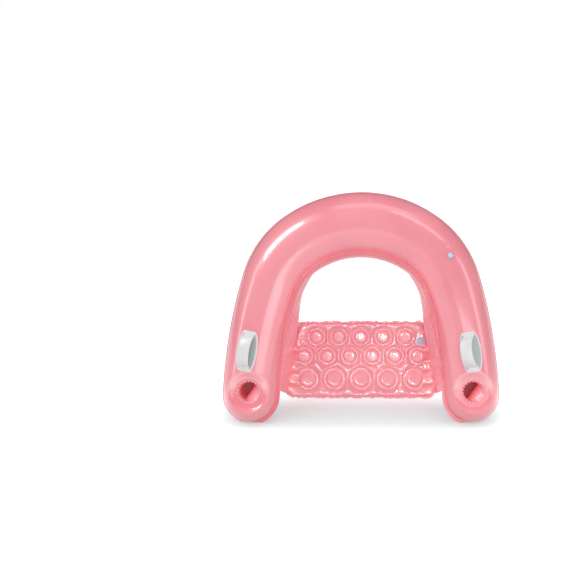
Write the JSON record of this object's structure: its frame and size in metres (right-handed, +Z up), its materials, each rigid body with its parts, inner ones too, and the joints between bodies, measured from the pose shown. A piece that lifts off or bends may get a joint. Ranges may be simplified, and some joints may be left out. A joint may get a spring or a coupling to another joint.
{
  "type": "inflatable pool chair",
  "caption": "Inflatable pool chair: a U-shaped air tube as back and arms, a slung bubble seat, cup pockets, grab handles and push-in air valves.",
  "frame": {"origin": "middle of the bounding box's base, on the floor", "axes": "+X across the chair from one arm to the other, -Y towards the front, +Z up"},
  "size_m": [1.0196, 0.41, 0.8197],
  "materials": {
    "front_vinyl": "glossy vinyl sheet",
    "back_vinyl": "glossy vinyl sheet",
    "seat_vinyl": "glossy vinyl sheet",
    "seat_underside_vinyl": "glossy vinyl sheet",
    "web_vinyl": "glossy vinyl sheet",
    "cup_vinyl": "glossy vinyl sheet",
    "handle_vinyl": "satin vinyl, thicker than the sheets",
    "valve_plastic": "soft translucent valve plastic"
  },
  "bodies": {
    "chair": {"tube_front_sheet": "front_vinyl", "tube_back_sheet": "back_vinyl", "seat_top_sheet": "seat_vinyl", "seat_bottom_sheet": "seat_underside_vinyl", "seat_web_left": "web_vinyl", "seat_web_right": "web_vinyl", "cup_sleeve_left": "cup_vinyl", "cup_sleeve_right": "cup_vinyl", "cup_floor_left": "cup_vinyl", "cup_floor_right": "cup_vinyl", "handle_patch_left": "handle_vinyl", "handle_patch_right": "handle_vinyl", "handle_strap_left": "handle_vinyl", "handle_strap_right": "handle_vinyl", "main_valve_flange": "valve_plastic", "seat_valve_flange": "valve_plastic"},
    "main_valve_stem": {"main_valve_stem": "valve_plastic"},
    "main_valve_plug": {"main_valve_plug": "valve_plastic", "main_valve_tether": "valve_plastic"},
    "main_valve_flap": {"main_valve_flap": "valve_plastic"},
    "seat_valve_stem": {"seat_valve_stem": "valve_plastic"},
    "seat_valve_plug": {"seat_valve_plug": "valve_plastic", "seat_valve_tether": "valve_plastic"},
    "seat_valve_flap": {"seat_valve_flap": "valve_plastic"}
  },
  "joints": [
    {"name": "main_valve_stem_slide", "type": "slide", "parent": "chair", "child": "main_valve_stem", "axis": [0.2517, -0.8777, 0.4078], "range_m": [0, 0.009]},
    {"name": "main_valve_plug_slide", "type": "slide", "parent": "main_valve_stem", "child": "main_valve_plug", "axis": [0.2517, -0.8777, 0.4078], "range_m": [0, 0.008]},
    {"name": "main_valve_flap_hinge", "type": "hinge", "parent": "main_valve_stem", "child": "main_valve_flap", "pos_m": [0.31951, -0.07779, 0.6057], "axis": [0.0459, -0.4101, -0.9109], "range_deg": [0, 50], "stiffness_Nm_per_rad": 0.0001, "springref_deg": -17.19},
    {"name": "seat_valve_stem_slide", "type": "slide", "parent": "chair", "child": "seat_valve_stem", "axis": [0, -0.9693, 0.2461], "range_m": [0, 0.009]},
    {"name": "seat_valve_plug_slide", "type": "slide", "parent": "seat_valve_stem", "child": "seat_valve_plug", "axis": [0, -0.9693, 0.2461], "range_m": [0, 0.008]},
    {"name": "seat_valve_flap_hinge", "type": "hinge", "parent": "seat_valve_stem", "child": "seat_valve_flap", "pos_m": [0.24179, 0.17158, 0.21727], "axis": [0, -0.2461, -0.9693], "range_deg": [0, 50], "stiffness_Nm_per_rad": 0.0001, "springref_deg": -17.19}
  ]
}
